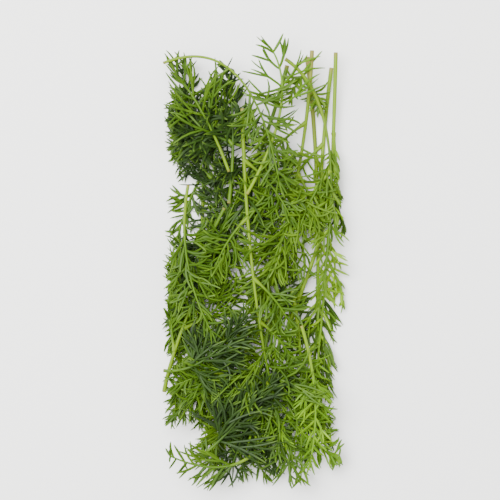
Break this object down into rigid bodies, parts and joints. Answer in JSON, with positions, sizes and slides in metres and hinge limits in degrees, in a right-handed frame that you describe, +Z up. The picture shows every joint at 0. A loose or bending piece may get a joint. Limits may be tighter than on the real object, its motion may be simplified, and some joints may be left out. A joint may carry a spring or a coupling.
{
  "type": "dill bunch",
  "caption": "Loose bunch of fresh cut dill lying flat: long green stalks and feathery leaves of fine forked thread-like segments, heaped on each other.",
  "frame": {"origin": "on the surface that the bunch lies on, under the middle of its box", "axes": "+Z up from that surface; +Y along the bunch, towards the cut ends of most of its long stalks; +X across it"},
  "size_m": [0.0874, 0.2055, 0.0211],
  "materials": {
    "deep_green_leaf": "matt bluish-green leaf threads",
    "mid_green_leaf": "soft satin green leaf threads on yellow-green stalks",
    "bright_green_leaf": "soft satin yellow-green leaf threads on pale stalks"
  },
  "bodies": {
    "root": {"sprig_01": "mid_green_leaf", "sprig_02": "mid_green_leaf", "sprig_03": "deep_green_leaf", "sprig_04": "bright_green_leaf", "sprig_05": "mid_green_leaf", "sprig_06": "deep_green_leaf", "sprig_07": "mid_green_leaf", "sprig_08": "bright_green_leaf", "sprig_09": "mid_green_leaf", "sprig_10": "deep_green_leaf", "sprig_11": "mid_green_leaf", "sprig_12": "deep_green_leaf", "sprig_13": "bright_green_leaf", "sprig_14": "deep_green_leaf", "sprig_15": "mid_green_leaf", "sprig_16": "mid_green_leaf", "sprig_17": "deep_green_leaf", "sprig_18": "bright_green_leaf", "sprig_19": "mid_green_leaf", "sprig_20": "mid_green_leaf", "sprig_21": "mid_green_leaf", "sprig_22": "bright_green_leaf", "sprig_23": "deep_green_leaf", "sprig_24": "deep_green_leaf", "sprig_25": "mid_green_leaf", "sprig_26": "bright_green_leaf", "sprig_27": "mid_green_leaf"}
  },
  "joints": []
}
